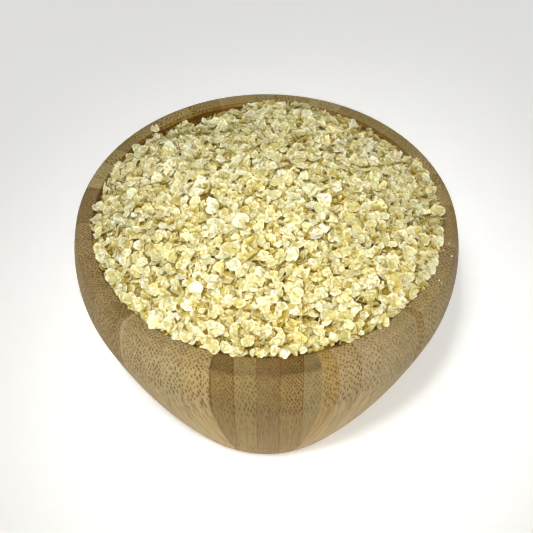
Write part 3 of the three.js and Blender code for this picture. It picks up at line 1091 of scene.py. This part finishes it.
# %% Geometry Nodes tree that lays out flakes
layout = bpy.data.node_groups.new("lay out flakes", "GeometryNodeTree")
for name, kind in (
    ("Spots", "NodeSocketGeometry"),
    ("Shapes", "NodeSocketCollection"),
    ("Variants", "NodeSocketInt"),
    ("Seed", "NodeSocketInt"),
    ("Finish", "NodeSocketMaterial"),
):
    layout.interface.new_socket(name, in_out="INPUT", socket_type=kind)
layout.interface.new_socket("Flakes", in_out="OUTPUT", socket_type="NodeSocketGeometry")
given = layout.nodes.new("NodeGroupInput").outputs
picked = add(
    layout, "GeometryNodeCollectionInfo",
    {"Collection": given["Shapes"], "Separate Children": True, "Reset Children": True},
)
last_variant = add(layout, "ShaderNodeMath", {0: given["Variants"], 1: 1.0}, operation="SUBTRACT")
variant = add(
    layout, "FunctionNodeRandomValue", {"Min": 0, "Max": last_variant, "Seed": given["Seed"]},
    data_type="INT",
)
turn = add(layout, "GeometryNodeInputNamedAttribute", {"Name": "turn"}, data_type="FLOAT_VECTOR")
rotation = add(layout, "FunctionNodeEulerToRotation", {"Euler": turn})
true_size = add(layout, "GeometryNodeInputNamedAttribute", {"Name": "size"}, data_type="FLOAT_VECTOR")
placed = add(layout, "GeometryNodeInstanceOnPoints", {
    "Points": given["Spots"],
    "Instance": picked,
    "Pick Instance": True,
    "Instance Index": variant,
    "Rotation": rotation,
    "Scale": true_size,
})
real = add(layout, "GeometryNodeRealizeInstances", {"Geometry": placed})
finished = add(layout, "GeometryNodeSetMaterial", {"Geometry": real, "Material": given["Finish"]})
add(layout, "NodeGroupOutput", {"Flakes": finished})
print(f"tree with {len(layout.nodes)} nodes")

# %% [markdown]
# An object made of the bare spots gets the tree as a modifier, with its inputs set. What comes out is kept
# as a plain mesh, and the modifier is thrown away, so every kind of flake ends as one ordinary piece.

# %% Make spots into a mesh


def lay_out(name, spots, turns_of, sizes, tints, collection, seed):
    """Turns a list of spots into one mesh of flakes."""
    bare = bpy.data.meshes.new(name)
    bare.from_pydata([tuple(s) for s in spots], [], [])
    give(bare, "turn", turns_of, kind="FLOAT_VECTOR")
    give(bare, "size", sizes, kind="FLOAT_VECTOR")
    give(bare, "tint", tints)
    maker = bpy.data.objects.new(name + "_spots", bare)
    bpy.context.scene.collection.objects.link(maker)
    modifier = maker.modifiers.new("lay out", "NODES")
    modifier.node_group = layout
    values = {
        "Shapes": collection,
        "Variants": len(collection.objects),
        "Seed": seed,
        "Finish": millet,
    }
    for item in layout.interface.items_tree:
        if item.item_type == "SOCKET" and item.in_out == "INPUT" and item.name in values:
            modifier[item.identifier] = values[item.name]
    evaluated = maker.evaluated_get(bpy.context.evaluated_depsgraph_get())
    mesh = bpy.data.meshes.new_from_object(evaluated)
    mesh.name = name
    bpy.data.objects.remove(maker)
    piece = bpy.data.objects.new(name, mesh)
    bpy.context.scene.collection.objects.link(piece)
    return piece


def facing(face, spin):
    """Euler turn that faces a flake's flat side along face, after a spin about it."""
    turn_of = Vector((0, 0, 1)).rotation_difference(face)
    return (turn_of.to_matrix() @ Matrix.Rotation(spin, 3, "Z")).to_euler()


# %% [markdown]
# The millet gets painted shade in the hollows. So every point of a flake has to know how deep it lies under
# the pile's top, which is the pile's own map of heights, blurred over a few flakes.

# %% Note how deep each point lies
BLUR = 1.2 * MM
TOP_LIMIT = 93.05 * MM  # the solids' top is at 93.1 mm
kernel = np.exp(-0.5 * (np.arange(-3 * BLUR, 3 * BLUR + CELL, CELL) / BLUR) ** 2)
blurred = heights
for axis in (0, 1):
    blurred = np.apply_along_axis(np.convolve, axis, blurred, kernel / kernel.sum(), "same")


def note_depth(piece, count):
    """Lowers the few flakes that stand too high, and notes every point's depth in mm under the pile's top."""
    places = np.empty(len(piece.data.vertices) * 3)
    piece.data.vertices.foreach_get("co", places)
    by_flake = places.reshape(count, -1, 3)
    too_high = np.maximum(by_flake[:, :, 2].max(axis=1) - TOP_LIMIT, 0)
    by_flake[:, :, 2] -= too_high[:, None]
    piece.data.vertices.foreach_set("co", places)
    widest_flake = np.ptp(by_flake, axis=1).max() / MM
    print(f"{piece.name}: {(too_high > 0).sum()} lowered, widest flake {widest_flake:.1f} mm")
    x, y, z = places.reshape(-1, 3).T
    top = blurred[((x + HALF_MAP) / CELL).astype(int), ((y + HALF_MAP) / CELL).astype(int)]
    give(piece.data, "depth", (top - z) / MM)


# %% Make all flakes


def make_pieces(name, laid, tints, seed):
    """One mesh of millet from what the pile says about each flake."""
    piece = lay_out(
        name,
        [middle for middle, _, _, _ in laid],
        [facing(face, spin) for _, face, _, spin in laid],
        [(size, size, size) for _, _, size, _ in laid],
        tints,
        shapes[name],
        seed,
    )
    note_depth(piece, len(laid))
    piece.data.calc_loop_triangles()
    print(f"{name}: {len(laid)} laid, {len(piece.data.loop_triangles)} triangles")
    return piece


TINTS = (2.4, 1.9)  # of the beta distribution: most flakes are near the middle of the colour range
kind_of = rng.choice(len(KINDS), len(flakes), p=[facts["share"] for facts in KINDS.values()])
heap_pieces = []
for number, kind in enumerate(KINDS):
    mine = [flake for flake, its_kind in zip(flakes, kind_of) if its_kind == number]
    heap_pieces.append(make_pieces(kind, mine, rng.beta(*TINTS, len(mine)), seed=number + 1))
heap_pieces.append(make_pieces("crumbs", crumbs, rng.beta(*TINTS, len(crumbs)), seed=9))

# %% [markdown]
# ## The core
# Under the loose flakes the bowl is full of more of them. None of those shows, so the core is one closed lump
# that follows the heap a little lower, painted the dark brown of the shade in deep gaps.

# %% Core of the heap
CORE_RINGS, CORE_TURNS = 60, 120
CORE_LUMPS = 0.35  # mm
CORE_TOP = RIM - 5 * MM  # where it meets the wall
AT_WALL = 1 * MM
core_line = wall_line(WALL + CLEARANCE, CORE_TOP, FLOOR_FILLET - CLEARANCE, FLOOR + FLOOR_FILLET)
top_radius = core_line[0][0] * np.linspace(0, 1, CORE_RINGS + 1)[1:]
core_turn = np.arange(CORE_TURNS) * 2 * np.pi / CORE_TURNS
core_points = [(0, 0, float(heap_level(np.array(0.0), np.array(0.0))) - LAYER)]
for r in top_radius:
    x, y = r * np.sin(core_turn), -r * np.cos(core_turn)
    z = heap_level(x, y) - LAYER + rng.uniform(-CORE_LUMPS, CORE_LUMPS, CORE_TURNS) * MM
    z = np.minimum(z, RIM - AT_WALL) if r > HEAP_RADIUS - AT_WALL else z
    core_points += list(zip(x, y, z))
for r, z in core_line[1:]:
    core_points += list(zip(r * np.sin(core_turn), -r * np.cos(core_turn), np.full(CORE_TURNS, z)))
core_points.append((0, 0, FLOOR + CLEARANCE))
print(f"core: {len(core_points)} points")

# %% Faces and colour of the core
core_faces = []
levels = (len(core_points) - 2) // CORE_TURNS
for a in range(CORE_TURNS):
    b = (a + 1) % CORE_TURNS
    core_faces.append((0, 1 + a, 1 + b))
    for level in range(levels - 1):
        low, high = 1 + level * CORE_TURNS, 1 + (level + 1) * CORE_TURNS
        core_faces.append((low + a, high + a, high + b, low + b))
    final = 1 + (levels - 1) * CORE_TURNS
    core_faces.append((final + a, len(core_points) - 1, final + b))

packed, packed_tree = new_material("packed millet in shade")
deep_noise = noise(packed_tree, add(packed_tree, "ShaderNodeTexCoord", output="Object"), 700.0, 3.0)
# The core's dark brown is painted shade: it stands for millet deep in the gaps, out of the light.
painted_shade_colour = ramp(packed_tree, deep_noise, [(0.35, linear("#5c4008")), (0.65, linear("#8c6a14"))])
deep_skin = add(packed_tree, "ShaderNodeBsdfPrincipled", {"Base Color": painted_shade_colour, "Roughness": 0.85})
add(packed_tree, "ShaderNodeOutputMaterial", {"Surface": deep_skin})
core = mesh_object("heap_core", core_points, core_faces, packed)
heap_pieces.append(core)
print(f"core: {len(core_faces)} faces")

# %% [markdown]
# ## Floor and light
# The photo shows the bowl on plain white. A pale matt floor stands in for it, and glows a little, as paper
# does that is lit all round.

# %% Floor
FLOOR_HALF = 1.5
floor_material, floor_tree = new_material("matt white paper")
paper = add(floor_tree, "ShaderNodeBsdfPrincipled", {
    "Base Color": linear("#f4f4f2"),
    "Roughness": 0.9,
    "Emission Color": (1, 1, 1, 1),
    "Emission Strength": 0.4,
})
add(floor_tree, "ShaderNodeOutputMaterial", {"Surface": paper})
corners = [(-1, -1), (1, -1), (1, 1), (-1, 1)]
floor = mesh_object(
    "floor", [(x * FLOOR_HALF, y * FLOOR_HALF, 0) for x, y in corners], [(0, 1, 2, 3)], floor_material
)
print(f"floor: {2 * FLOOR_HALF:.0f} m across")

# %% [markdown]
# The light in the photo is even, and brightest from above the viewer. A small lamp with a narrow beam gives
# the flakes their crisp shadows, a broad one over it, one low in front and a slightly warmer one at each side
# soften them, and the white room and the floor throw light into the rest.

# %% Lights
AIM = (0, -26 * MM, RIM)  # the front half of the heap
WARM_WHITE = (1, 0.985, 0.92)


def soft_lamp(name, place_at, size_m, power, beam=180):
    """A square lamp that faces the heap, with its beam this many degrees wide."""
    data = bpy.data.lights.new(name, "AREA")
    data.size = size_m
    data.energy = power
    data.spread = math.radians(beam)
    lamp = bpy.data.objects.new(name, data)
    bpy.context.scene.collection.objects.link(lamp)
    lamp.location = place_at
    aim = Vector(AIM) - Vector(place_at)
    lamp.rotation_euler = aim.to_track_quat("-Z", "Y").to_euler()
    return lamp


soft_lamp("key", (-0.06, -0.3, 0.58), 0.09, 0.0615, 21.5)
soft_lamp("overhead", (0, -0.4, 0.8), 0.4, 0.93)
soft_lamp("front_fill", (0, -0.8, 0.1), 0.4, 0.86)
left_lamp = soft_lamp("left_fill", (-0.75, -0.35, 0.3), 0.4, 1.04)
right_lamp = soft_lamp("right_fill", (0.75, -0.35, 0.3), 0.4, 0.78)
for lamp in (left_lamp, right_lamp):
    lamp.data.color = WARM_WHITE
world = bpy.data.worlds.new("white room")
world.use_nodes = True
world.node_tree.nodes["Background"].inputs["Color"].default_value = (1, 0.98, 0.94, 1)
world.node_tree.nodes["Background"].inputs["Strength"].default_value = 0.23
bpy.context.scene.world = world
bpy.context.scene.view_settings.view_transform = "Standard"
print("lights set")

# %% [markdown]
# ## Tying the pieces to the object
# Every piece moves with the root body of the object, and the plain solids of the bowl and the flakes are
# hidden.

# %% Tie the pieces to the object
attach(bowl, "root")
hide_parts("bowl")
for piece in heap_pieces:
    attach(piece, "root")
    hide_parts("flakes")

for collection in shapes.values():
    for shape in list(collection.objects):
        bpy.data.objects.remove(shape)
    bpy.data.collections.remove(collection)
